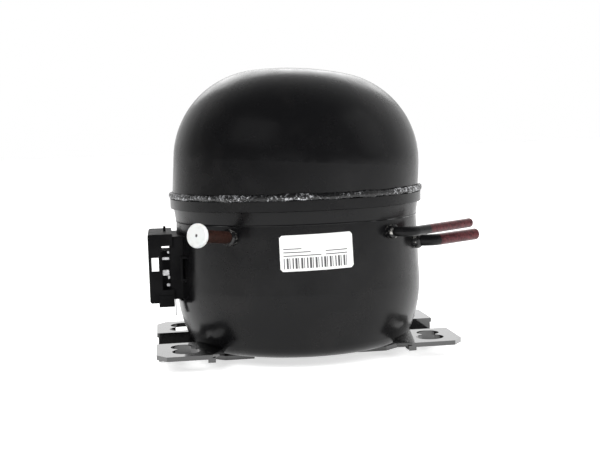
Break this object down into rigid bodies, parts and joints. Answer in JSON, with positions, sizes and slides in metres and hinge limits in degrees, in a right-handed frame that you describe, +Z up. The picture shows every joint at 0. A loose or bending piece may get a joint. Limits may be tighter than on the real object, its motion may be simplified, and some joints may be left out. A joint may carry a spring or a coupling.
{
  "type": "hermetic reciprocating compressor",
  "caption": "Sealed refrigeration compressor: domed shell on stamped feet, copper line stubs, and a sprung motor driving a piston by a sliding yoke.",
  "frame": {"origin": "centre of the foot bolt pattern, on the underside of the foot pads", "axes": "+Z up the shell; +X to the right along the longer hole spacing, away from the relay box; +Y to the back, away from the side with the process tube"},
  "size_m": [0.2338, 0.1919, 0.1995],
  "materials": {
    "black_paint": "glossy black paint",
    "weld_bead": "rough painted weld",
    "copper_tube": "bare copper",
    "braze": "brazed joint under paint",
    "white_rubber": "matte white",
    "black_plastic": "moulded, satin",
    "relay_plastic": "moulded",
    "bright_steel": "plated",
    "seal_glass": "fused glass",
    "sheet_steel": "stacked laminations",
    "winding_wire": "enamelled copper wire",
    "cast_aluminium": "cast",
    "cast_iron": "cast and machined",
    "gasket_fibre": "pressed fibre",
    "pale_plastic": "moulded",
    "snubber_plastic": "moulded",
    "lead_cover": "braided sleeve"
  },
  "bodies": {
    "shell": {"upper_shell": "black_paint", "lower_shell": "black_paint", "seam_weld": "weld_bead", "left_foot_bracket": "black_paint", "right_foot_bracket": "black_paint", "suction_collar": "braze", "discharge_collar": "braze", "process_collar": "braze", "suction_tube": "copper_tube", "discharge_tube": "copper_tube", "process_tube": "copper_tube", "terminal_body": "bright_steel", "terminal_glass": "seal_glass", "terminal_pins": "bright_steel", "terminal_connector": "pale_plastic", "terminal_fence": "black_paint", "cover_hook": "black_paint", "ground_tab": "bright_steel", "start_relay": "relay_plastic", "overload_protector": "relay_plastic", "lower_snubbers": "snubber_plastic"},
    "pump": {"stator_core": "sheet_steel", "stator_windings": "winding_wire", "stator_bolts": "bright_steel", "cylinder_block": "cast_iron", "thrust_washer": "bright_steel", "cylinder_gasket": "gasket_fibre", "valve_plate": "bright_steel", "head_gasket": "gasket_fibre", "cylinder_head": "cast_aluminium", "head_bolts": "bright_steel", "suction_muffler": "pale_plastic", "discharge_muffler": "bright_steel", "discharge_loop": "copper_tube", "upper_snubbers": "snubber_plastic", "suspension_springs": "bright_steel", "lead_bundle": "lead_cover"},
    "crank": {"crankshaft": "cast_iron", "counterweight": "cast_iron", "rotor_core": "sheet_steel", "rotor_cage": "cast_aluminium", "oil_pickup": "bright_steel"},
    "slider": {"slide_block": "cast_iron"},
    "metering": {"oil_metering_plug": "cast_iron"},
    "yoke": {"yoke_tube": "cast_iron", "piston": "cast_iron"},
    "suction_valve": {"suction_reed": "bright_steel"},
    "discharge_valve": {"discharge_reed": "bright_steel"},
    "cover": {"relay_cover": "black_plastic"},
    "plug": {"process_plug": "white_rubber"}
  },
  "joints": [
    {"name": "pump_float", "type": "slide", "parent": "shell", "child": "pump", "axis": [0, 0, 1], "range_m": [-0.003, 0.003], "stiffness_N_per_m": 8000, "springref_m": 0.0088, "deforming": ["suspension_springs", "discharge_loop", "lead_bundle"]},
    {"name": "crank_spin", "type": "hinge", "parent": "pump", "child": "crank", "pos_m": [0, 0, 0.095], "axis": [0, 0, 1], "continuous": true},
    {"name": "slide_block_turn", "type": "hinge", "parent": "crank", "child": "slider", "pos_m": [-0.008, 0, 0.131], "axis": [0, 0, 1], "continuous": true},
    {"name": "metering_turn", "type": "hinge", "parent": "crank", "child": "metering", "pos_m": [-0.004, 0, 0.028], "axis": [0, 0, 1], "continuous": true},
    {"name": "yoke_stroke", "type": "hinge", "parent": "metering", "child": "yoke", "pos_m": [-0.008, 0, 0.131], "axis": [0, 0, 1], "continuous": true},
    {"name": "suction_reed_flex", "type": "hinge", "parent": "pump", "child": "suction_valve", "pos_m": [-0.0563, 0.005, 0.13925], "axis": [0, -1, 0], "range_deg": [0, 2.5], "stiffness_Nm_per_rad": 0.05},
    {"name": "discharge_reed_flex", "type": "hinge", "parent": "pump", "child": "discharge_valve", "pos_m": [-0.0601, -0.005, 0.13925], "axis": [0, 1, 0], "range_deg": [0, 3], "stiffness_Nm_per_rad": 0.05},
    {"name": "cover_pull", "type": "slide", "parent": "shell", "child": "cover", "axis": [-1, 0, 0], "range_m": [0, 0.03]},
    {"name": "plug_pull", "type": "slide", "parent": "shell", "child": "plug", "axis": [-0.5967, -0.7918, 0.1305], "range_m": [0, 0.015]}
  ],
  "couplings": [
    {"joint": "slide_block_turn", "follows": "crank_spin", "ratio": -1},
    {"joint": "metering_turn", "follows": "crank_spin", "ratio": -2},
    {"joint": "yoke_stroke", "follows": "crank_spin", "ratio": 1}
  ]
}
